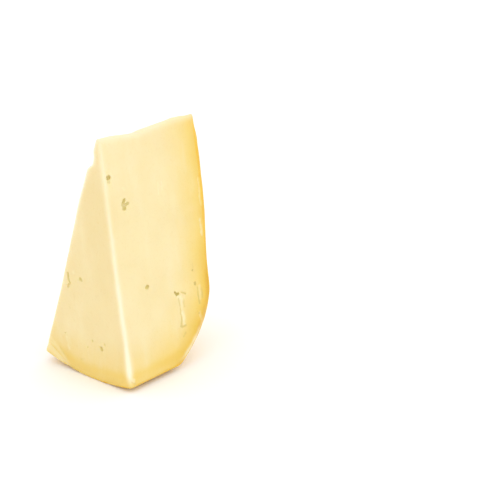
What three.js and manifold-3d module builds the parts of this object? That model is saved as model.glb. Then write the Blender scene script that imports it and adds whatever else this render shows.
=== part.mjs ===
// A wedge of Gouda-style cheese, standing on its rim with the tip up.
//
// The wheel was split level at half its height, and the half wheel was then cut like a pie, a little
// off centre. That gives one solid piece with three cut faces (the level split, the front cut and the
// back cut) and a rind on the flat face of the wheel and round its rim.
//
// Frame, in millimetres: +Z is up, from the rim that the wedge stands on to its tip. +X runs along the
// wheel's axis, from the level split to the wheel's flat rind face. The ridge between the split and the
// front cut faces -Y. The origin is on the standing surface, at the centre of the bounding box.

import * as THREE from "three";
import { mergeVertices } from "three/addons/utils/BufferGeometryUtils.js";
import Module from "manifold-3d";

const DEGREE = Math.PI / 180;

// The wheel
const WHEEL_RADIUS = 122;
const SLAB_THICKNESS = 65.5; // half the wheel's height
const RIM_FLAT = 35; // the straight part of the rim, measured from the level split
const RIM_CORNER_RADIUS = 7; // the tighter curve where the rim turns into the shoulder
const RIM_CORNER_TURN = 28 * DEGREE;
const FACET_ANGLE = 3 * DEGREE; // the rim's flats; the middle one is the wedge's standing face

// The cuts
const TIP_HEIGHT = 120.6; // where the two radial cuts would meet
const TIP_BLUNT = 119.6; // the tip is worn down to here
const FRONT_CUT_LEAN = 6.9 * DEGREE; // from the vertical, towards -Y
const BACK_CUT_LEAN = 21.4 * DEGREE; // from the vertical, towards +Y
const TIP_Y = -15.48;
const WHEEL_AXIS_BEHIND_TIP = 10.2; // this puts the centre of mass right above the standing face
const RIND_EDGE_BEVEL = 3; // the rind is dragged over where the front cut left it

// The eyes and nicks: where the middle of each lies on its face, and its full width, height and depth.
// On the two radial cuts, "across" is measured from the level split and "along" down from the tip.
// On the level split, "across" is measured from the tip towards +Y and "along" straight down from it.
const FRONT_CUT_EYES = [
  { across: 3.6, along: 19.6, width: 1.5, height: 4.0, depth: 1.6 },
  { across: 10.6, along: 33.4, width: 4.2, height: 5.6, depth: 2.6 },
  { across: 18.7, along: 74.7, width: 2.3, height: 2.2, depth: 1.8 },
  { across: 37.7, along: 83.6, width: 2.6, height: 1.7, depth: 1.4 },
  { across: 50.4, along: 81.8, width: 1.4, height: 1.6, depth: 1.0 },
];
const LEVEL_SPLIT_EYES = [
  { across: 24.7, along: 71.6, width: 1.8, height: 7.4, depth: 1.6 },
  { across: 16.2, along: 71.4, width: 2.4, height: 2.2, depth: 1.8 },
  { across: 29.2, along: 101.4, width: 1.4, height: 1.8, depth: 1.2 },
  { across: 4.9, along: 102.9, width: 1.9, height: 1.6, depth: 1.4 },
];
const BACK_CUT_EYES = [
  { across: 15.0, along: 41.0, width: 3.4, height: 4.6, depth: 2.4 },
  { across: 34.0, along: 66.0, width: 2.4, height: 2.2, depth: 1.8 },
  { across: 22.0, along: 92.0, width: 5.0, height: 3.0, depth: 2.4 },
  { across: 44.0, along: 50.0, width: 1.8, height: 1.8, depth: 1.4 },
];

const SPLIT_X = -SLAB_THICKNESS / 2;
const AXIS_Y = TIP_Y + WHEEL_AXIS_BEHIND_TIP;
const AXIS_Z = WHEEL_RADIUS * Math.cos(FACET_ANGLE / 2); // sets the middle flat of the rim at Z = 0

const wasm = await Module();
wasm.setup();

/** A closed three.js geometry as a manifold-3d solid. */
function solid(geometry) {
  const plain = geometry.clone();
  plain.deleteAttribute("normal");
  plain.deleteAttribute("uv");
  const merged = mergeVertices(plain, 1e-4);
  return new wasm.Manifold(
    new wasm.Mesh({
      numProp: 3,
      vertProperties: merged.attributes.position.array,
      triVerts: new Uint32Array(merged.index.array),
    }),
  );
}

/** A manifold-3d solid as a three.js geometry. */
function geometryOf(body) {
  const mesh = body.getMesh();
  const geometry = new THREE.BufferGeometry();
  geometry.setAttribute("position", new THREE.BufferAttribute(mesh.vertProperties, 3));
  geometry.setIndex(new THREE.BufferAttribute(mesh.triVerts, 1));
  return geometry.toNonIndexed();
}

/** The half wheel's outline as (radius, height above the split), from the axis round the rim and back. */
function wheelProfile() {
  const points = [new THREE.Vector2(0, 0), new THREE.Vector2(WHEEL_RADIUS, 0)];
  const cornerSteps = 4;
  for (let i = 0; i <= cornerSteps; i++) {
    const turn = (RIM_CORNER_TURN * i) / cornerSteps;
    points.push(
      new THREE.Vector2(
        WHEEL_RADIUS - RIM_CORNER_RADIUS * (1 - Math.cos(turn)),
        RIM_FLAT + RIM_CORNER_RADIUS * Math.sin(turn),
      ),
    );
  }
  // The shoulder is one arc from the end of the corner to the flat rind face, which it meets smoothly.
  const start = points.at(-1);
  const shoulderRadius = (SLAB_THICKNESS - start.y) / (1 - Math.sin(RIM_CORNER_TURN));
  const shoulderSteps = 14;
  for (let i = 1; i <= shoulderSteps; i++) {
    const turn = RIM_CORNER_TURN + ((Math.PI / 2 - RIM_CORNER_TURN) * i) / shoulderSteps;
    points.push(
      new THREE.Vector2(
        start.x - shoulderRadius * (Math.cos(RIM_CORNER_TURN) - Math.cos(turn)),
        start.y + shoulderRadius * (Math.sin(turn) - Math.sin(RIM_CORNER_TURN)),
      ),
    );
  }
  points.push(new THREE.Vector2(0, SLAB_THICKNESS));
  return points;
}

/** The half wheel, with its axis along X and one flat of its rim facing straight down. */
function halfWheel() {
  const facets = Math.round((2 * Math.PI) / FACET_ANGLE);
  const geometry = new THREE.LatheGeometry(wheelProfile(), facets);
  geometry.rotateZ(-Math.PI / 2); // the axis, from Y to X
  geometry.rotateX(FACET_ANGLE / 2);
  geometry.translate(SPLIT_X, AXIS_Y, AXIS_Z);
  return solid(geometry);
}

/** The space between the two radial cuts: a triangular prism that hangs from the tip. */
function sectorPrism() {
  const reach = WHEEL_RADIUS + 20; // well past the rim
  const overrun = 10; // well past both faces of the slab
  const triangle = new THREE.Shape([
    new THREE.Vector2(TIP_Y, TIP_HEIGHT),
    new THREE.Vector2(TIP_Y - reach * Math.tan(FRONT_CUT_LEAN), TIP_HEIGHT - reach),
    new THREE.Vector2(TIP_Y + reach * Math.tan(BACK_CUT_LEAN), TIP_HEIGHT - reach),
  ]);
  const geometry = new THREE.ExtrudeGeometry(triangle, {
    depth: SLAB_THICKNESS + 2 * overrun,
    bevelEnabled: false,
  });
  geometry.applyMatrix4(
    new THREE.Matrix4().makeBasis(
      new THREE.Vector3(0, 1, 0),
      new THREE.Vector3(0, 0, 1),
      new THREE.Vector3(1, 0, 0),
    ),
  );
  geometry.translate(SPLIT_X - overrun, 0, 0);
  return solid(geometry);
}

/** What the worn tip has lost: everything above TIP_BLUNT. */
function wornTip() {
  const size = 2 * SLAB_THICKNESS;
  const geometry = new THREE.BoxGeometry(size, size, size);
  geometry.translate(0, 0, TIP_BLUNT + size / 2);
  return solid(geometry);
}

/** A long square bar that bevels the edge where a cut face meets the flat rind face. */
function rindEdgeBevel(face) {
  const side = RIND_EDGE_BEVEL * Math.SQRT2;
  const geometry = new THREE.BoxGeometry(side, side, 3 * WHEEL_RADIUS); // longer than the edge
  geometry.rotateZ(Math.PI / 4);
  geometry.translate(SLAB_THICKNESS, 0, 0);
  geometry.applyMatrix4(face);
  return solid(geometry);
}

/** A cut face as a matrix: from its corner at the tip, X runs across it, Z up it and Y square to it. */
function cutFace(across, up) {
  const square = new THREE.Vector3().crossVectors(up, across);
  return new THREE.Matrix4().makeBasis(across, square, up).setPosition(SPLIT_X, TIP_Y, TIP_HEIGHT);
}

/** One eye: a stretched sphere centred on its face, so that half of it lies in the cheese. */
function eye({ across, along, width, height, depth }, face) {
  const geometry = new THREE.SphereGeometry(1, 12, 8);
  geometry.scale(width / 2, depth, height / 2);
  geometry.translate(across, 0, -along);
  geometry.applyMatrix4(face);
  return solid(geometry);
}

const alongX = new THREE.Vector3(1, 0, 0);
const alongY = new THREE.Vector3(0, 1, 0);
const upright = new THREE.Vector3(0, 0, 1);
const levelSplit = cutFace(alongY, upright);
const frontCut = cutFace(alongX, upright.clone().applyAxisAngle(alongX, -FRONT_CUT_LEAN));
const backCut = cutFace(alongX, upright.clone().applyAxisAngle(alongX, BACK_CUT_LEAN));

let cheese = halfWheel().intersect(sectorPrism()).subtract(wornTip()).subtract(rindEdgeBevel(frontCut));
for (const [eyes, face] of [
  [FRONT_CUT_EYES, frontCut],
  [LEVEL_SPLIT_EYES, levelSplit],
  [BACK_CUT_EYES, backCut],
]) {
  for (const one of eyes) cheese = cheese.subtract(eye(one, face));
}

const paste = new THREE.MeshStandardMaterial({
  name: "cheese",
  color: new THREE.Color().setRGB(0.98, 0.87, 0.6, THREE.SRGBColorSpace),
  roughness: 0.55,
  metalness: 0,
});

const wedge = new THREE.Mesh(geometryOf(cheese), paste);
wedge.name = "cheese_wedge";

const part = new THREE.Group();
part.add(wedge);

export default part;
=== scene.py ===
"""A wedge of Gouda-style cheese, standing on its rim with the tip up, on a white floor in soft light.

The cheese is one piece. Its shape is a distance field: the half wheel's rim, shoulder and domed rind
face, cut by the level split and by two radial cuts, with the eyes, marks and worn places carved out of
it. The field is turned into a mesh, and the same field tells the material how deep each point lies under
the rind.

Lengths are in millimetres until the mesh is made. +Z is up, from the rim that the wedge stands on to its
tip, and +X runs along the wheel's axis, from the level split to the domed rind face.
"""

import functools
import math

import bmesh
import bpy
import numpy as np
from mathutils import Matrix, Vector


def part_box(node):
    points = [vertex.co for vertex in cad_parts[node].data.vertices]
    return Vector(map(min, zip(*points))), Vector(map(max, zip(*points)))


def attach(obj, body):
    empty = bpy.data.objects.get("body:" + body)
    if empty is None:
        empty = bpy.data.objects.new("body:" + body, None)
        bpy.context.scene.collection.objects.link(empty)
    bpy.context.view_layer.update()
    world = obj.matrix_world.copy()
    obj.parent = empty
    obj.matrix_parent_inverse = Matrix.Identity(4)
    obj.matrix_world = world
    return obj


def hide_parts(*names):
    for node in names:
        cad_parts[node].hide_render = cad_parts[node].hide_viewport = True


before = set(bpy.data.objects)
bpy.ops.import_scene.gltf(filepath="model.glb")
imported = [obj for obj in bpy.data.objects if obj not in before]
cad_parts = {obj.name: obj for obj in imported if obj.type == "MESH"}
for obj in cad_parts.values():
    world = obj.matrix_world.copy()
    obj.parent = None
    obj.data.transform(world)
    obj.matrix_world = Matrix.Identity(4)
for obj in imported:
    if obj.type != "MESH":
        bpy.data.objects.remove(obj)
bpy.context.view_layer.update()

MM = 0.001  # a millimetre in metres
NODE = "cheese_wedge"
LOW, HIGH = (np.array(corner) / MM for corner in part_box(NODE))

# The half wheel
SPLIT_X = LOW[0]
SLAB = HIGH[0] - LOW[0]  # from the level split to the rind face
WHEEL_RADIUS = 122.0
AXIS_Y = -5.28
AXIS_Z = 121.96
SHOULDER_RADIUS = 57.8
SHOULDER_REACH = 70.5  # from the wheel's axis to the middle of the shoulder's arc
DOME_REACH = 50.0  # the rind face is flat out to here, and then slopes gently down to the shoulder
DOME_SLOPE = math.radians(5.0)
DOME_ROUND = 1.0  # how far the turn from the shoulder to the dome is rounded
RIM_CORNER = 0.8  # how far the turn from the rim to the shoulder is rounded

# The cuts
TIP_Y = -15.48
TIP_Z = 120.6  # where the two radial cuts would meet
FRONT_LEAN = math.radians(6.9)
BACK_LEAN = math.radians(21.4)
RIDGE_ROUND = 1.8
CUT_EDGE_ROUND = 1.4
TIP_ROUND = 0.9
WORN_TIP_ROUND = 1.2
FLOOR_ROUND = 0.1
HOLE_RIM_ROUND = 0.45
RIM_EDGE_ROUND = 1.0
RIND_EDGE_ROUND = 5.0  # the knife dragged the rind over the front cut's long edge

# The mesh
CELL = 0.63
MARGIN = 2.0  # empty space kept round the cheese in the grid
BAND_OUT = 2.0  # the fine shape is worked out from this far outside the plain one
BAND_IN = 5.5  # to this far inside it, deeper than any eye
SLOPE_STEP = 0.04  # half the distance over which the field's slope is measured
MARK_MARGIN = 1.1  # faces this close to the outline of a hole or mark are split in four
HOLE_MARGIN = 0.45  # and those this close to a hole's outline are split once more
FAR = 99.0

# How far the back cut bows out of its plane, by height above the floor
BACK_CUT_BOW = [
    (0, 0.0),
    (20, 0.0),
    (44, 0.2),
    (58, 0.9),
    (71, 1.5),
    (88, 2.2),
    (98, 1.9),
    (106, 1.5),
    (120, 1.2),
]

# How much of the corner of the rind face has worn off near the tip, by height above the floor
CORNER_WEAR = [(0, 0.0), (70, 0.0), (88, 0.1), (102, 0.4), (109, 1.4), (113, 3.0), (120, 5.0)]

# The small unevenness of each surface: how strong it is, how far apart its bumps lie, and its seed
RIND_DENTS = [(0.35, 21.0, 1), (0.12, 6.0, 2)]
SPLIT_DENTS = [(0.22, 24.0, 3), (0.05, 3.5, 4)]
KNIFE_STRETCH = [1.0, 1.0, 0.35]  # the knife's fine waves run up and down the two radial cuts

# The paste near the rim is paler than near the rind face, but for a deeper band along the rim
RIM_PALENESS = 6.4
RIM_BAND_DEPTH = 5.5
PASTE_DEPTH_LIMIT = 40.0
PASTE_DEPTH_SPAN = 30.0  # the depth under the rind at which the paste reaches its palest

# How strongly a highlight is painted on the ridge, the lip of the back cut and the front cut's lip over the
# shoulder, by height above the floor
RIDGE_HIGHLIGHT = [(0, 0.0), (4, 0.2), (8, 0.95), (25, 1.0), (60, 0.75), (95, 0.5), (120, 0.4)]
LIP_HIGHLIGHT = [(0, 0.2), (40, 0.35), (72, 0.6), (80, 1.0), (112, 1.0), (116, 0.8), (120, 0.6)]
RIM_LIP_HIGHLIGHT = [(0, 0.0), (4, 0.05), (7, 0.6), (14, 0.6), (20, 0.25), (30, 0.0), (120, 0.0)]

# How much of the tip has worn away, by distance from the level split
TIP_WEAR = [(0, 3.0), (11, 3.4), (22, 4.1), (28, 3.3), (36, 2.3), (43, 1.5), (52, 1.4), (66, 1.5)]


def smooth(share):
    """Eases a share from 0 to 1, level at both ends."""
    share = np.clip(share, 0.0, 1.0)
    return share * share * (3.0 - 2.0 * share)


def rise(value, start, end):
    """0 up to start, 1 from end on, and an even curve between."""
    return smooth((value - start) / (end - start))


def bell(value, middle, reach):
    """1 at the middle, easing to 0 at reach on either side."""
    return 1.0 - smooth(np.abs(value - middle) / reach)


def along_curve(value, stops):
    """The height at value of a smooth curve through the stops."""
    places, heights = np.array(stops, float).T
    slopes = np.gradient(heights, places)
    value = np.clip(value, places[0], places[-1])
    i = np.clip(np.searchsorted(places, value) - 1, 0, len(places) - 2)
    width = places[i + 1] - places[i]
    t = (value - places[i]) / width
    rest = 1.0 - t
    return (
        heights[i] * rest * rest * (1 + 2 * t)
        + heights[i + 1] * t * t * (3 - 2 * t)
        + width * t * rest * (slopes[i] * rest - slopes[i + 1] * t)
    )


LATTICE_SIDE = 32


@functools.lru_cache(maxsize=None)
def lattice(seed):
    """A block of random numbers from -1 to 1, the same on every run."""
    return np.random.default_rng(seed).uniform(-1.0, 1.0, (LATTICE_SIDE, LATTICE_SIDE, LATTICE_SIDE))


def noise(points, spacing, seed):
    """A smooth random field from -1 to 1 that changes over about the given spacing."""
    place = points / spacing
    cell = np.floor(place).astype(int)
    share = smooth(place - cell)
    total = np.zeros(len(points))
    for step in np.ndindex(2, 2, 2):
        weight = np.prod(np.where(step, share, 1.0 - share), axis=1)
        i, j, k = ((cell + step) % LATTICE_SIDE).T
        total += weight * lattice(seed)[i, j, k]
    return total


def hollows(points, rows):
    """Several noises together, each from 0 to twice its strength."""
    return sum(strength * (1.0 + noise(points, spacing, seed)) for strength, spacing, seed in rows)


def round_max(a, b, reach):
    """The larger of two distances, with the corner between them rounded off over that reach."""
    overlap = np.maximum(reach - np.abs(a - b), 0.0) / reach
    return np.maximum(a, b) + overlap * overlap * reach / 4.0


# --- The plain shape ----------------------------------------------------------------------------


def wheel_distance(p, spare_rim=0.0):
    """Distance outside the half wheel: its rim, set further out if asked, its shoulder and its dome."""
    radius = np.hypot(p[:, 1] - AXIS_Y, p[:, 2] - AXIS_Z)
    height = p[:, 0] - SPLIT_X
    rim = radius - WHEEL_RADIUS - spare_rim
    shoulder = (
        np.hypot(
            np.maximum(radius - SHOULDER_REACH, 0.0),
            np.maximum(height - (SLAB - SHOULDER_RADIUS), 0.0),
        )
        - SHOULDER_RADIUS
    )
    dome = (height - SLAB + (radius - DOME_REACH) * math.tan(DOME_SLOPE)) * math.cos(DOME_SLOPE)
    return round_max(round_max(rim, shoulder, RIM_CORNER), dome, DOME_ROUND)


def split_distance(p):
    return SPLIT_X - p[:, 0]


def front_distance(p):
    return -(p[:, 1] - TIP_Y) * math.cos(FRONT_LEAN) + (p[:, 2] - TIP_Z) * math.sin(FRONT_LEAN)


def back_distance(p):
    return (p[:, 1] - TIP_Y) * math.cos(BACK_LEAN) + (p[:, 2] - TIP_Z) * math.sin(BACK_LEAN)


def plain_distance(p):
    """Distance outside the wedge with sharp edges and flat cuts."""
    cuts = np.maximum(np.maximum(split_distance(p), front_distance(p)), back_distance(p))
    return np.maximum(cuts, wheel_distance(p))


# --- Eyes, cracks and nicks ---------------------------------------------------------------------


def on_split(across, height):
    """A point on the level split: across is measured from the tip towards the back cut."""
    return np.array([SPLIT_X, TIP_Y + across, height])


def on_front(across, height):
    """A point on the front cut: across is measured from the level split."""
    return np.array([SPLIT_X + across, TIP_Y - (TIP_Z - height) * math.tan(FRONT_LEAN), height])


def on_back(across, height):
    """A point on the back cut: across is measured from the level split."""
    y = TIP_Y + (TIP_Z - height) * math.tan(BACK_LEAN)
    return np.array([SPLIT_X + across, y + along_curve(height, BACK_CUT_BOW), height])


INWARD = {
    on_split: np.array([1.0, 0.0, 0.0]),
    on_front: np.array([0.0, math.cos(FRONT_LEAN), -math.sin(FRONT_LEAN)]),
    on_back: np.array([0.0, -math.cos(BACK_LEAN), -math.sin(BACK_LEAN)]),
}

# Each hole: its face, the line that it follows there as (across, height), its width, its depth, how far its
# middle lies under the surface as a share of the depth, and how much shade is painted inside it
HOLES = [
    # The front cut's eyes
    (on_front, [(2.6, 100.3), (3.3, 100.5)], 2.2, 1.2, 0.1, 0.75),
    (on_front, [(2.7, 98.5)], 1.9, 0.5, 0.0, 0.5),
    (on_front, [(10.8, 88.7), (9.8, 87.4), (9.8, 86.4)], 1.8, 1.3, 0.1, 0.9),
    (on_front, [(10.0, 86.4), (10.5, 85.4)], 2.3, 1.3, 0.1, 0.9),
    (on_front, [(10.8, 86.2), (11.8, 86.4), (12.9, 86.9)], 1.4, 1.0, 0.1, 0.8),
    (on_front, [(18.3, 46.1), (18.9, 45.9)], 2.0, 1.4, 0.2, 1.0),
    (on_front, [(36.1, 38.4), (37.3, 36.8), (38.3, 37.0)], 1.2, 1.5, 0.2, 1.0),
    (on_front, [(40.4, 37.2), (41.6, 36.6), (42.9, 35.8)], 0.7, 0.7, 0.1, 0.8),
    (on_front, [(49.6, 45.7)], 1.1, 0.7, 0.1, 0.7),
    (on_front, [(50.1, 39.4), (50.3, 38.2)], 1.2, 0.8, 0.1, 0.8),
    (on_front, [(50.5, 23.5)], 0.9, 0.5, 0.1, 0.4),
    # The level split's slit and eyes
    (on_split, [(25.2, 50.2), (24.9, 47.6), (24.2, 45.6), (25.2, 43.9)], 1.4, 1.0, 0.1, 0.8),
    (on_split, [(25.5, 43.7)], 1.7, 0.8, 0.1, 0.7),
    (on_split, [(16.6, 48.9)], 2.3, 0.8, 0.1, 0.9),
    (on_split, [(19.0, 47.3)], 0.9, 0.4, 0.0, 0.4),
    (on_split, [(29.5, 18.9)], 1.2, 0.8, 0.1, 0.7),
    (on_split, [(10.5, 20.0)], 1.4, 0.8, 0.1, 0.9),
    (on_split, [(14.1, 15.7)], 1.1, 0.7, 0.1, 0.9),
    (on_split, [(5.0, 17.8), (4.7, 17.0)], 1.8, 1.3, 0.1, 1.0),
    (on_split, [(2.6, 20.3), (2.4, 19.7)], 1.2, 0.7, 0.1, 0.9),
    # The back cut's eyes
    (on_back, [(15.3, 82.9), (14.6, 80.4)], 2.6, 2.6, 0.25, 0.7),
    (on_back, [(34.0, 59.2)], 2.2, 2.0, 0.25, 0.7),
    (on_back, [(20.6, 34.6), (22.2, 35.0), (23.6, 34.2)], 2.6, 2.4, 0.25, 0.7),
    (on_back, [(44.0, 74.1)], 1.7, 1.5, 0.25, 0.7),
    (on_back, [(27.4, 96.8), (27.0, 95.6)], 1.1, 1.1, 0.2, 0.7),
    (on_back, [(9.2, 55.0)], 1.3, 1.2, 0.2, 0.7),
    (on_back, [(11.3, 53.1)], 0.8, 0.8, 0.2, 0.7),
    (on_back, [(39.2, 28.0), (40.6, 26.2)], 0.9, 1.2, 0.1, 0.7),
    (on_back, [(31.0, 18.8)], 1.2, 1.1, 0.2, 0.7),
    (on_back, [(50.5, 50.6)], 1.0, 0.9, 0.1, 0.7),
]


def line_distance(p, line):
    """Distance from each point to a broken line, or to its one point."""
    if len(line) == 1:
        return np.linalg.norm(p - line[0], axis=1)
    nearest = np.full(len(p), np.inf)
    for start, end in zip(line, line[1:]):
        run = end - start
        share = np.clip((p - start) @ run / (run @ run), 0.0, 1.0)
        nearest = np.minimum(nearest, np.linalg.norm(p - start - share[:, None] * run, axis=1))
    return nearest


class Hole:
    """A rounded hollow that follows a line just under a cut face."""

    def __init__(self, seed, face, line, width, depth, sink, shade):
        inward = INWARD[face]
        self.inward = inward
        self.line = [face(*point) + sink * depth * inward for point in line]
        self.half_width = width / 2.0
        self.depth = depth * (1.0 - sink)
        self.shade = shade
        self.seed = seed
        self.centre = np.mean(self.line, axis=0)
        span = max(np.linalg.norm(point - self.centre) for point in self.line)
        self.reach = span + max(width, depth) + 1.5

    def near(self, p):
        return np.flatnonzero(np.linalg.norm(p - self.centre, axis=1) < self.reach)

    def distance(self, p):
        """Distance outside the hollow, whose outline wanders a little."""
        wander = np.stack([noise(p, 1.3, self.seed + axis) for axis in range(3)], axis=1)
        p = p + 0.35 * self.half_width * wander
        away = line_distance(p, self.line)
        down = (p - self.centre) @ self.inward
        side = np.sqrt(np.maximum(away * away - down * down, 0.0))
        stretch = np.hypot(side / self.half_width, down / self.depth)
        return (stretch - 1.0) * min(self.half_width, self.depth)


HOLE_SHAPES = [Hole(100 + 10 * i, *row) for i, row in enumerate(HOLES)]
FLAKE = [on_split(*point) for point in [(44.5, 11.9), (37.0, 10.2), (32.2, 6.8), (28.6, 2.8)]]


# Each scrape, where the knife lifted the paste and left it pale, and each highlight painted in a streak on
# the front cut's rind
# strip: its face, its line there, its width, its depth, and how pale it is
SCRAPES_AND_HIGHLIGHTS = [
    (on_front, [(39.3, 35.2), (39.7, 31.7), (39.5, 28.3), (40.1, 24.5), (39.6, 21.8)], 1.7, 0.35, 0.8),
    (on_front, [(38.2, 35.6), (41.4, 34.8)], 2.0, 0.2, 0.45),
    (on_front, [(33.2, 92.4), (33.0, 86.7)], 0.7, 0.15, 0.4),
    (on_front, [(35.6, 92.0), (35.5, 88.0)], 0.7, 0.15, 0.4),
    (on_front, [(10.9, 94.2), (11.5, 93.4)], 1.8, 0.1, 0.35),
    (on_front, [(53.0, 36.8), (52.6, 30.6)], 1.6, 0.2, 0.3),
    (on_front, [(51.0, 24.0), (51.6, 20.4)], 1.6, 0.2, 0.25),
    # The next two rows are painted highlights: pale streaks where light catches the rounded rind strip, set
    # in shallow grooves
    (on_front, [(60.4, 89.0), (60.5, 84.0), (60.2, 79.5), (60.3, 75.5)], 1.7, 0.3, 0.45),
    (on_front, [(58.2, 68.5), (58.8, 64.5), (58.7, 61.0)], 1.6, 0.3, 0.45),
    (on_front, [(1.6, 7.0), (3.0, 5.6)], 1.6, 0.2, 0.5),
    (on_split, [(28.6, 17.1), (27.4, 11.2)], 1.5, 0.1, 0.35),
    (on_split, [(41.0, 13.4), (36.6, 10.6), (33.4, 7.2)], 3.2, 0.1, 0.35),
    (on_split, [(21.3, 51.8)], 1.8, 0.05, 0.35),
    (on_back, [(47.0, 44.0), (46.6, 38.0), (46.0, 33.0)], 1.4, 0.3, 0.4),
    (on_back, [(24.0, 68.0), (24.6, 60.5)], 0.8, 0.15, 0.3),
]

# Each crease, a fine line or spot that looks a little darker, in the same way
CREASES = [
    (on_front, [(37.8, 34.8), (38.2, 30.6), (38.1, 27.2), (38.4, 23.7), (37.8, 22.0)], 0.9, 0.3, 0.9),
    (on_front, [(41.2, 34.2), (41.2, 29.8)], 0.7, 0.2, 0.5),
    (on_front, [(37.4, 21.2), (38.6, 20.4), (40.6, 20.6)], 0.9, 0.3, 0.9),
    (on_front, [(38.3, 15.7), (39.9, 16.9)], 0.9, 0.2, 0.5),
    (on_front, [(1.4, 5.4), (3.2, 4.2)], 0.8, 0.2, 0.4),
    (on_front, [(51.5, 36.6), (51.3, 32.4), (51.6, 28.4)], 0.8, 0.2, 0.6),
    (on_front, [(54.3, 35.4), (54.1, 30.8)], 0.8, 0.2, 0.5),
    (on_front, [(50.1, 49.0), (50.0, 46.6)], 0.7, 0.1, 0.4),
    (on_split, [(26.2, 51.6), (25.4, 49.6)], 0.8, 0.2, 0.5),
    (on_split, [(24.3, 46.0), (24.4, 45.0), (25.2, 44.2)], 0.8, 0.2, 0.5),
    (on_split, [(34.0, 10.4), (31.8, 7.8), (29.0, 5.2)], 0.8, 0.25, 0.8),
    (on_split, [(6.6, 43.2)], 1.2, 0.1, 0.3),
    (on_split, [(21.8, 40.2), (21.3, 39.2)], 1.2, 0.1, 0.25),
    (on_split, [(25.1, 32.9)], 1.0, 0.1, 0.25),
    (on_split, [(22.3, 27.2)], 1.3, 0.1, 0.2),
    (on_split, [(16.6, 8.9), (19.0, 8.0)], 0.9, 0.1, 0.3),
    (on_back, [(45.6, 44.0), (44.5, 33.0)], 0.7, 0.2, 0.5),
    (on_back, [(53.0, 88.0), (51.5, 79.0)], 0.7, 0.2, 0.4),
]


class Mark:
    """A shallow scrape, crease or painted highlight streak along a line on a cut face, with a soft,
    wandering edge.
    """

    def __init__(self, seed, face, line, width, depth, strength):
        self.line = [face(*point) for point in line]
        self.half_width = width / 2.0
        self.depth = depth
        self.strength = strength
        self.seed = seed
        self.centre = np.mean(self.line, axis=0)
        span = max(np.linalg.norm(point - self.centre) for point in self.line)
        self.reach = span + width + 2.0

    def near(self, p):
        return np.flatnonzero(np.linalg.norm(p - self.centre, axis=1) < self.reach)

    def distance(self, p):
        wander = noise(p, 1.6, self.seed) + 0.5 * noise(p, 0.8, self.seed + 1)
        return line_distance(p, self.line) - self.half_width * (1.0 + 0.5 * wander)

    def share(self, p):
        """1 along the line, fading to 0 at its edge."""
        return 1.0 - rise(self.distance(p), -0.8 * self.half_width, 0.4)


SCRAPE_AND_HIGHLIGHT_SHAPES = [Mark(600 + 10 * i, *row) for i, row in enumerate(SCRAPES_AND_HIGHLIGHTS)]
CREASE_SHAPES = [Mark(900 + 10 * i, *row) for i, row in enumerate(CREASES)]


def mark_depth(p):
    """How deep the scrapes, painted highlight streaks and creases are at each point."""
    depth = np.zeros(len(p))
    for mark in SCRAPE_AND_HIGHLIGHT_SHAPES + CREASE_SHAPES:
        near = mark.near(p)
        if len(near):
            depth[near] = np.maximum(depth[near], mark.depth * mark.share(p[near]))
    return depth


# --- The whole shape ----------------------------------------------------------------------------


def rind_surface(p):
    """The rind: never quite flat, a little dented, and worn off the corner by the tip."""
    dents = hollows(p, RIND_DENTS)
    worn_corner = along_curve(p[:, 2], CORNER_WEAR) * rise(p[:, 0] - SPLIT_X, SLAB - 14.0, SLAB)
    flat_side = rise(p[:, 0] - SPLIT_X, 34.0, 50.0)
    return wheel_distance(p) + 0.6 * dents * flat_side + worn_corner


def split_surface(p):
    """The level split: gently dished, with a flake lifted off the lower back corner."""
    dish = hollows(p, SPLIT_DENTS)
    below = flake_side(p)
    step = 0.3 * rise(below, -0.3, 0.4) * (1.0 - rise(below, 0.4, 5.0))
    return split_distance(p) + dish + step


def flake_side(p):
    """How far a point lies below the line of the flake, on its lower back side, in millimetres."""
    nearest = line_distance(p * [0.0, 1.0, 1.0], [point * [0.0, 1.0, 1.0] for point in FLAKE])
    start, end = FLAKE[0], FLAKE[-1]
    run = (end - start)[1:]
    cross = run[0] * (p[:, 2] - start[2]) - run[1] * (p[:, 1] - start[1])
    return np.where(cross > 0.0, nearest, -nearest)


def front_surface(p):
    """The front cut: nearly flat, with the knife's faint waves."""
    across = p[:, 0] - SPLIT_X
    waves = 0.2 * noise(p, 26.0, 5) + 0.05 * noise(p * KNIFE_STRETCH, 3.0, 6)
    hollow = 0.5 * bell(across, 30.0, 34.0) * bell(p[:, 2], 60.0, 60.0)
    return front_distance(p) + waves + hollow


def back_surface(p):
    """The back cut: bowed, and chipped where it meets the level split near the tip."""
    across = p[:, 0] - SPLIT_X
    height = p[:, 2] + 0.8 * noise(p, 9.0, 8)
    bow = along_curve(p[:, 2], BACK_CUT_BOW)
    chip = 2.0 * rise(height, 103.0, 105.6) * (1.0 - 0.75 * rise(height, 107.0, 113.0))
    chip = chip * (1.0 - rise(across, 3.0, 13.0))
    waves = 0.25 * noise(p, 22.0, 9) + 0.05 * noise(p * KNIFE_STRETCH, 3.0, 10)
    return back_distance(p) - bow + chip + waves


def solid_distance(p):
    """Distance outside the wedge with its rounded edges and worn tip, but before its holes."""
    across = p[:, 0] - SPLIT_X
    split = split_surface(p)
    front = front_surface(p)
    back = back_surface(p)
    cuts = round_max(front, back, TIP_ROUND)
    worn = p[:, 2] - (TIP_Z - along_curve(across, TIP_WEAR)) + 0.35 * noise(p, 5.0, 11)
    cuts = round_max(cuts, worn, WORN_TIP_ROUND)
    edge = np.where(front > back, RIDGE_ROUND, CUT_EDGE_ROUND)
    cuts = round_max(cuts, split, edge)
    dragged = rise(p[:, 2], 14.0, 55.0) * rise(front - back, 0.0, 8.0)
    edge = RIM_EDGE_ROUND + (RIND_EDGE_ROUND - RIM_EDGE_ROUND) * dragged
    body = round_max(cuts, rind_surface(p), edge) + mark_depth(p)
    return round_max(body, -p[:, 2], FLOOR_ROUND)


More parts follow.
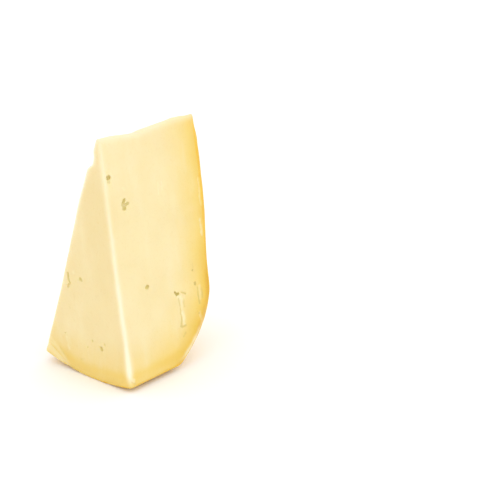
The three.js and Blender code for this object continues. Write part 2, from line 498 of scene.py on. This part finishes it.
def cheese_distance(p):
    """Distance outside the finished cheese."""
    distance = solid_distance(p)
    for hole in HOLE_SHAPES:
        near = hole.near(p)
        if len(near):
            distance[near] = round_max(distance[near], -hole.distance(p[near]), HOLE_RIM_ROUND)
    return distance


# --- From the field to a mesh -------------------------------------------------------------------


def grid_field():
    """The cheese's distance on a grid: the fine shape near the surface, and the plain one elsewhere."""
    axes = [np.arange(LOW[i] - MARGIN, HIGH[i] + MARGIN, CELL) for i in range(3)]
    nodes = np.stack(np.meshgrid(*axes, indexing="ij"), axis=-1).reshape(-1, 3)
    field = plain_distance(nodes)
    band = np.flatnonzero((field < BAND_OUT) & (field > -BAND_IN))
    field[band] = cheese_distance(nodes[band])
    return field.reshape([len(axis) for axis in axes])


def surface_net(field):
    """A vertex in each grid cell that the surface crosses, and a quad round each edge that it crosses."""
    inside = field < 0.0
    size = np.array(field.shape) - 1
    count = np.zeros(size, int)
    for i, j, k in np.ndindex(2, 2, 2):
        count += inside[i : i + size[0], j : j + size[1], k : k + size[2]]
    crossed = (count > 0) & (count < 8)
    number = np.full(size, -1)
    number[crossed] = np.arange(np.count_nonzero(crossed))
    cells = np.argwhere(crossed)

    total = np.zeros((len(cells), 3))
    hits = np.zeros(len(cells))
    for axis in range(3):
        step = np.eye(3, dtype=int)[axis]
        for corner in np.ndindex(2, 2, 2):
            if corner[axis]:
                continue
            start = cells + corner
            first = field[tuple(start.T)]
            second = field[tuple((start + step).T)]
            crossing = (first < 0.0) != (second < 0.0)
            share = np.where(crossing, first / np.where(crossing, first - second, 1.0), 0.0)
            total += crossing[:, None] * (np.array(corner) + share[:, None] * step)
            hits += crossing
    vertices = (LOW - MARGIN) + CELL * (cells + total / hits[:, None])

    quads = []
    for axis in range(3):
        step = np.eye(3, dtype=int)[axis]
        side_a = np.eye(3, dtype=int)[(axis + 1) % 3]
        side_b = np.eye(3, dtype=int)[(axis + 2) % 3]
        first = inside[tuple(slice(0, n - s) for n, s in zip(inside.shape, step))]
        second = inside[tuple(slice(s, n) for n, s in zip(inside.shape, step))]
        at = np.argwhere(first != second)
        ring = [at, at - side_a, at - side_a - side_b, at - side_b]
        quad = np.stack([number[tuple(cell.T)] for cell in ring], axis=1)
        leaving = first[tuple(at.T)]
        quads.append(np.where(leaving[:, None], quad, quad[:, ::-1]))
    return vertices, np.concatenate(quads)


def slope_of(p):
    """The direction in which the distance grows fastest."""
    slope = np.zeros_like(p)
    for axis in range(3):
        shift = SLOPE_STEP * np.eye(3)[axis]
        slope[:, axis] = (cheese_distance(p + shift) - cheese_distance(p - shift)) / (2.0 * SLOPE_STEP)
    return slope


def settled(p, rounds):
    """The points moved onto the surface."""
    for _ in range(rounds):
        slope = slope_of(p)
        steep = np.maximum(np.sum(slope * slope, axis=1), 0.25)
        move = -slope * (cheese_distance(p) / steep)[:, None]
        length = np.linalg.norm(move, axis=1)
        move *= np.minimum(1.0, 0.4 * CELL / np.maximum(length, 1e-9))[:, None]
        p = p + move
    return p


def positions(mesh):
    """A mesh's vertices, in millimetres."""
    flat = np.zeros(3 * len(mesh.vertices), np.float32)
    mesh.vertices.foreach_get("co", flat)
    return flat.reshape(-1, 3).astype(float) / MM


def set_positions(mesh, p):
    mesh.vertices.foreach_set("co", (p * MM).astype(np.float32).ravel())
    mesh.update()


def closeness(p, shapes):
    """Distance outside the nearest of the shapes, where one is near."""
    closest = np.full(len(p), FAR)
    for shape in shapes:
        near = shape.near(p)
        if len(near):
            closest[near] = np.minimum(closest[near], shape.distance(p[near]))
    return closest


def refine(mesh, shapes, reach):
    """Splits each face near one of the shapes in four, and settles the new vertices."""
    close = np.abs(closeness(positions(mesh), shapes)) < reach
    work = bmesh.new()
    work.from_mesh(mesh)
    work.verts.ensure_lookup_table()
    faces = [face for face in work.faces if all(close[vert.index] for vert in face.verts)]
    edges = {edge for face in faces for edge in face.edges}
    edges = sorted(edges, key=lambda edge: edge.index)
    bmesh.ops.subdivide_edges(work, edges=edges, cuts=1, use_grid_fill=True)
    odd = [face for face in work.faces if len(face.verts) > 4]
    bmesh.ops.triangulate(work, faces=odd)
    work.to_mesh(mesh)
    work.free()
    set_positions(mesh, settled(positions(mesh), 2))


def make_cheese():
    """The cheese as a Blender mesh object."""
    vertices, quads = surface_net(grid_field())
    vertices = settled(vertices, 3)
    mesh = bpy.data.meshes.new("cheese_wedge_visual")
    mesh.from_pydata((vertices * MM).tolist(), [], quads.tolist())
    refine(mesh, HOLE_SHAPES + SCRAPE_AND_HIGHLIGHT_SHAPES + CREASE_SHAPES, MARK_MARGIN)
    refine(mesh, HOLE_SHAPES, HOLE_MARGIN)
    mesh.shade_smooth()
    add_measures(mesh)
    piece = bpy.data.objects.new("cheese_wedge_visual", mesh)
    bpy.context.scene.collection.objects.link(piece)
    return piece


# --- What the material needs to know at each point ----------------------------------------------


def add_measure(mesh, name, values):
    measure = mesh.attributes.new(name, "FLOAT", "POINT")
    measure.data.foreach_set("value", values.astype(np.float32))


def mark_strength(p, marks):
    """How strongly the marks show at each point, from 0 to 1."""
    strength = np.zeros(len(p))
    for mark in marks:
        near = mark.near(p)
        if len(near):
            strength[near] = np.maximum(strength[near], mark.strength * mark.share(p[near]))
    return strength


def add_measures(mesh):
    """Stores each vertex's depth under the rind, and how far it is rind, scrape, crease, painted highlight
    or painted shade in a hole.
    """
    p = positions(mesh)
    across = p[:, 0] - SPLIT_X
    split = split_surface(p)
    front = front_surface(p)
    back = back_surface(p)
    rind = rind_surface(p)
    cuts = np.maximum(np.maximum(split, front), back)

    band = RIM_BAND_DEPTH + 0.8 * noise(p, 12.0, 23)
    rim_depth = WHEEL_RADIUS - np.hypot(p[:, 1] - AXIS_Y, p[:, 2] - AXIS_Z)
    depth = -wheel_distance(p, RIM_PALENESS)
    depth = depth - 3.2 * bell(rim_depth, band, 3.5) * rise(depth, 2.0, 12.0)
    low_side = bell(p[:, 2], 36.0, 34.0) * rise(across, 40.0, 56.0)
    depth = depth - 3.0 * low_side * (1.0 - rise(depth, 3.0, 16.0))
    add_measure(mesh, "paste_depth", np.clip(depth, 0.0, PASTE_DEPTH_LIMIT))
    # The level split is made a little darker and yellower
    add_measure(mesh, "split_face_tint", rise(split - np.maximum(front, back), -1.0, 3.0))

    dragged = 4.2 * rise(p[:, 2], 20.0, 75.0) * rise(front - back, 0.0, 8.0)
    overlap = rind - cuts + 0.5 + dragged + 0.5 * noise(p, 4.0, 20) + 0.25 * noise(p, 1.5, 21)
    thinned = 1.0 - 0.35 * rise(front, -6.0, 0.0)  # the paste shows through where it was dragged
    add_measure(mesh, "rind_skin", rise(overlap, -0.35, 0.35) * thinned)

    # Painted highlights: the ridge, the lips of the cuts and the worn tip are painted paler, where light
    # catches their rounded edges
    wide = 1.6 + 0.5 * noise(p, 7.0, 22) + 0.6 * bell(p[:, 2], 10.0, 14.0)
    ridge = np.exp(-((np.abs(split - front) / wide) ** 2)) * along_curve(p[:, 2], RIDGE_HIGHLIGHT)
    lip = np.exp(-((np.abs(split - back) / 1.5) ** 2)) * along_curve(p[:, 2], LIP_HIGHLIGHT)
    ragged = 1.0 + 0.5 * noise(p, 2.5, 24)
    rim_lip = np.exp(-(((front - rind - 1.1) / (1.2 * ragged)) ** 2))
    rim_lip = rim_lip * along_curve(p[:, 2], RIM_LIP_HIGHLIGHT) * rise(front, -2.5, -0.5)
    tip = np.exp(-((np.maximum(TIP_Z - along_curve(across, TIP_WEAR) - p[:, 2], 0.0) / 2.2) ** 2))
    on_front_side = np.maximum(ridge, rim_lip)
    add_measure(mesh, "painted_edge_highlight", np.maximum(np.where(front > back, on_front_side, lip), 0.5 * tip))

    # Painted shade inside the holes, darker where they are deep
    shade = np.zeros(len(p))
    for hole in HOLE_SHAPES:
        near = hole.near(p)
        if len(near):
            inside = 1.0 - rise(hole.distance(p[near]), -0.05, 0.2)
            deep = rise(-np.maximum(cuts, rind)[near], 0.0, 0.45 * hole.depth)
            shade[near] = np.maximum(shade[near], hole.shade * inside * (0.35 + 0.65 * deep))
    add_measure(mesh, "hole_shade", shade)

    below = flake_side(p)
    on_split_face = 1.0 - rise(np.abs(split), 0.3, 0.8)
    flake = 0.5 * rise(below, -2.5, 0.8) * (1.0 - rise(below, 3.0, 9.0)) * on_split_face
    # Scrapes and the flake, and the highlight painted in streaks on the front cut's rind strip
    add_measure(mesh, "torn_and_highlight", np.maximum(flake, mark_strength(p, SCRAPE_AND_HIGHLIGHT_SHAPES)))
    add_measure(mesh, "creased", mark_strength(p, CREASE_SHAPES))


# --- Materials ----------------------------------------------------------------------------------


def srgb(red, green, blue):
    """A colour given as it is seen, 0 to 255, as Blender's linear one."""
    channels = [value / 255.0 for value in (red, green, blue)]
    return [c / 12.92 if c <= 0.04045 else ((c + 0.055) / 1.055) ** 2.4 for c in channels] + [1.0]


# The paste's colour, by depth under the rind as a share of PASTE_DEPTH_SPAN
PASTE_COLOURS = [
    (0.0, srgb(216, 170, 56)),
    (0.1, srgb(230, 194, 88)),
    (0.3, srgb(235, 207, 122)),
    (0.57, srgb(237, 215, 150)),
    (0.95, srgb(238, 221, 171)),
]
FAINT_SHADE = srgb(252, 250, 244)
# Makes the level split a little darker and yellower
SPLIT_FACE_TINT = srgb(252, 249, 245)
PALE_STREAK = srgb(240, 228, 188)
# The colour of pale scrapes on the paste, and of the painted highlight streaks where paste shows
TORN_PASTE_AND_HIGHLIGHT = srgb(243, 233, 190)
# The colour of the highlight painted along the cut edges and the tip
CUT_EDGE_HIGHLIGHT = srgb(244, 237, 208)
RIND_DEEP = srgb(228, 176, 28)
RIND_BRIGHT = srgb(233, 188, 40)
RIND_SPECK = srgb(214, 154, 28)
# The colour of pale scrapes on the rind, and of the highlight painted in streaks on the rind strip
TORN_RIND_AND_HIGHLIGHT = srgb(242, 224, 122)
CREASE = srgb(206, 186, 112)
# The colour of the shade painted inside the holes
HOLE_PAINTED_SHADE = srgb(212, 196, 125)


class Nodes:
    """Short ways to add the nodes that these materials use."""

    def __init__(self, material):
        self.tree = material.node_tree
        self.place = self.add("ShaderNodeTexCoord").outputs["Object"]

    def add(self, kind, **settings):
        node = self.tree.nodes.new(kind)
        for name, value in settings.items():
            setattr(node, name, value)
        return node

    def feed(self, socket, value):
        """Links an output to a socket, or sets the socket to a plain value."""
        if isinstance(value, bpy.types.NodeSocket):
            self.tree.links.new(value, socket)
        else:
            socket.default_value = value

    def measure(self, name):
        return self.add("ShaderNodeAttribute", attribute_name=name).outputs["Fac"]

    def math(self, operation, a, b, c=0.5):
        node = self.add("ShaderNodeMath", operation=operation)
        for socket, value in zip(node.inputs, (a, b, c)):
            self.feed(socket, value)
        return node.outputs[0]

    def stretched(self, scale):
        node = self.add("ShaderNodeMapping")
        self.feed(node.inputs["Vector"], self.place)
        node.inputs["Scale"].default_value = scale
        return node.outputs["Vector"]

    def noise(self, size, detail=3.0, vector=None):
        """Noise whose patches are about size millimetres across."""
        node = self.add("ShaderNodeTexNoise")
        self.feed(node.inputs["Vector"], vector or self.place)
        node.inputs["Scale"].default_value = 1.0 / (size * MM)
        node.inputs["Detail"].default_value = detail
        return node.outputs["Fac"]

    def ramp(self, value, stops):
        node = self.add("ShaderNodeValToRGB")
        self.feed(node.inputs["Fac"], value)
        points = node.color_ramp.elements
        while len(points) < len(stops):
            points.new(0.5)
        for point, (place, colour) in zip(points, stops):
            point.position = place
            point.color = colour
        return node.outputs["Color"]

    def spread(self, value, low, high, to_low=0.0, to_high=1.0):
        """Stretches a number from one range to another."""
        node = self.add("ShaderNodeMapRange", interpolation_type="SMOOTHSTEP")
        for name, number in (("Value", value), ("From Min", low), ("From Max", high)):
            self.feed(node.inputs[name], number)
        node.inputs["To Min"].default_value = to_low
        node.inputs["To Max"].default_value = to_high
        return node.outputs["Result"]

    def mix(self, share, a, b, blend="MIX"):
        node = self.add("ShaderNodeMix", data_type="RGBA", blend_type=blend)
        self.feed(node.inputs["Factor"], share)
        self.feed(node.inputs[6], a)
        self.feed(node.inputs[7], b)
        return node.outputs[2]


def cheese_material():
    """Pale paste that deepens towards the rind, a satin yellow rind, painted highlights on the edges and
    painted shade in the eyes.
    """
    material = bpy.data.materials.new("cheese")
    material.use_nodes = True
    nodes = Nodes(material)
    shader = material.node_tree.nodes["Principled BSDF"]

    skin = nodes.measure("rind_skin")
    streaks = nodes.noise(9.0, 4.0, nodes.stretched((1.0, 1.0, 0.3)))
    patches = nodes.noise(22.0, 3.0)
    grain = nodes.noise(1.1, 4.0)

    wander = nodes.math("MULTIPLY_ADD", nodes.noise(14.0, 3.0), 5.0, -2.5)
    depth = nodes.math("ADD", nodes.measure("paste_depth"), wander)
    share = nodes.math("DIVIDE", depth, PASTE_DEPTH_SPAN)
    paste = nodes.ramp(share, PASTE_COLOURS)
    paste = nodes.mix(nodes.spread(patches, 0.35, 0.75), paste, FAINT_SHADE, "MULTIPLY")
    # Makes the level split a little darker and yellower
    paste = nodes.mix(nodes.measure("split_face_tint"), paste, SPLIT_FACE_TINT, "MULTIPLY")
    streaked = nodes.spread(streaks, 0.45, 0.8, 0.0, 0.4)
    streaked = nodes.math("MULTIPLY", streaked, nodes.spread(share, 0.1, 0.6))
    paste = nodes.mix(streaked, paste, PALE_STREAK)
    paste = nodes.mix(nodes.spread(grain, 0.5, 0.8), paste, FAINT_SHADE, "MULTIPLY")
    # Pale scrapes and flake, and painted highlight streaks
    paste = nodes.mix(nodes.measure("torn_and_highlight"), paste, TORN_PASTE_AND_HIGHLIGHT)
    # Paints the highlight along the ridge, the lips and the tip
    paste = nodes.mix(nodes.measure("painted_edge_highlight"), paste, CUT_EDGE_HIGHLIGHT)

    blotches = nodes.noise(13.0, 5.0)
    rind = nodes.mix(nodes.spread(blotches, 0.35, 0.7), RIND_DEEP, RIND_BRIGHT)
    rind = nodes.mix(nodes.spread(nodes.noise(1.6, 4.0), 0.6, 0.8, 0.0, 0.25), rind, RIND_SPECK)
    # Pale scrapes, and painted highlight streaks on the rind strip
    rind = nodes.mix(nodes.measure("torn_and_highlight"), rind, TORN_RIND_AND_HIGHLIGHT)
    colour = nodes.mix(skin, paste, rind)
    colour = nodes.mix(nodes.measure("creased"), colour, CREASE)
    # Paints shade inside the holes
    colour = nodes.mix(nodes.measure("hole_shade"), colour, HOLE_PAINTED_SHADE)
    nodes.feed(shader.inputs["Base Color"], colour)

    rough_paste = nodes.spread(nodes.noise(3.0, 3.0), 0.3, 0.7, 0.5, 0.66)
    rough_rind = nodes.spread(blotches, 0.3, 0.7, 0.28, 0.4)
    paste_share = nodes.math("SUBTRACT", 1.0, skin)
    rough = nodes.math("MULTIPLY", rough_paste, paste_share)
    nodes.feed(shader.inputs["Roughness"], nodes.math("MULTIPLY_ADD", rough_rind, skin, rough))

    shader.inputs["Subsurface Weight"].default_value = 0.25
    shader.inputs["Subsurface Radius"].default_value = (1.0, 0.7, 0.35)
    shader.inputs["Subsurface Scale"].default_value = 4.0 * MM
    shader.inputs["Specular IOR Level"].default_value = 0.25

    bumps = nodes.math("MULTIPLY_ADD", nodes.noise(0.9, 5.0), 0.6, nodes.math("MULTIPLY", streaks, 0.8))
    bumps = nodes.math("MULTIPLY_ADD", nodes.math("MULTIPLY", nodes.noise(2.6, 2.0), skin), 3.0, bumps)
    bump = nodes.add("ShaderNodeBump")
    nodes.feed(bump.inputs["Height"], bumps)
    bump.inputs["Strength"].default_value = 0.25
    bump.inputs["Distance"].default_value = 0.12 * MM
    nodes.feed(shader.inputs["Normal"], bump.outputs["Normal"])
    return material


def floor_material():
    """A matte white floor with the faintest unevenness."""
    material = bpy.data.materials.new("white_floor")
    material.use_nodes = True
    nodes = Nodes(material)
    shader = material.node_tree.nodes["Principled BSDF"]
    tone = nodes.mix(nodes.noise(120.0, 2.0), srgb(254, 254, 253), srgb(255, 255, 255))
    nodes.feed(shader.inputs["Base Color"], tone)
    shader.inputs["Roughness"].default_value = 0.9
    shader.inputs["Specular IOR Level"].default_value = 0.1
    return material


# --- The studio ---------------------------------------------------------------------------------

FLOOR_HALF_WIDTH = 6000.0
WORLD_STRENGTH = 1.12

CAMERA_PLACE = (-343.3, -351.6, 222.0)
CAMERA_TURN = math.radians(51.0)  # from looking along +Y towards +X
CAMERA_DIP = math.radians(18.87)
CAMERA_LENS = 77.0
SENSOR = 36.0


def make_camera():
    data = bpy.data.cameras.new("camera")
    data.lens = CAMERA_LENS
    data.sensor_width = SENSOR
    data.clip_start = 0.01
    data.clip_end = 50.0
    camera = bpy.data.objects.new("camera", data)
    camera.location = Vector(CAMERA_PLACE) * MM
    camera.rotation_euler = (math.pi / 2 - CAMERA_DIP, 0.0, -CAMERA_TURN)
    bpy.context.scene.collection.objects.link(camera)
    bpy.context.scene.camera = camera


def make_floor():
    half = FLOOR_HALF_WIDTH * MM
    corners = [(-half, -half, 0.0), (half, -half, 0.0), (half, half, 0.0), (-half, half, 0.0)]
    mesh = bpy.data.meshes.new("floor")
    mesh.from_pydata(corners, [], [(0, 1, 2, 3)])
    mesh.materials.append(floor_material())
    floor = bpy.data.objects.new("floor", mesh)
    bpy.context.scene.collection.objects.link(floor)


def add_softbox(name, place, size, power, colour):
    """A square lamp, in millimetres, that faces the middle of the cheese."""
    data = bpy.data.lights.new(name, "AREA")
    data.shape = "SQUARE"
    data.size = size * MM
    data.energy = power
    data.color = colour
    lamp = bpy.data.objects.new(name, data)
    lamp.location = Vector(place) * MM
    aim = Vector((0.0, 0.0, HIGH[2] / 2)) * MM - lamp.location
    lamp.rotation_euler = aim.to_track_quat("-Z", "Y").to_euler()
    bpy.context.scene.collection.objects.link(lamp)


def light_studio():
    """A bright white room, a large soft key from the front right, and gentle lamps left and behind."""
    world = bpy.data.worlds.new("white_room")
    world.use_nodes = True
    background = world.node_tree.nodes["Background"]
    background.inputs["Color"].default_value = (1.0, 1.0, 1.0, 1.0)
    background.inputs["Strength"].default_value = WORLD_STRENGTH
    bpy.context.scene.world = world
    add_softbox("key", (250.0, -900.0, 700.0), 700.0, 0.7, (1.0, 1.0, 1.0))
    add_softbox("fill", (-900.0, -150.0, 450.0), 600.0, 0.2, (1.0, 0.99, 0.97))
    add_softbox("back", (850.0, 500.0, 500.0), 400.0, 0.15, (1.0, 1.0, 1.0))


def main():
    make_camera()
    make_floor()
    light_studio()
    bpy.context.scene.view_settings.view_transform = "Standard"
    cheese = make_cheese()
    cheese.data.materials.append(cheese_material())
    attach(cheese, "root")
    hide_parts(NODE)


main()
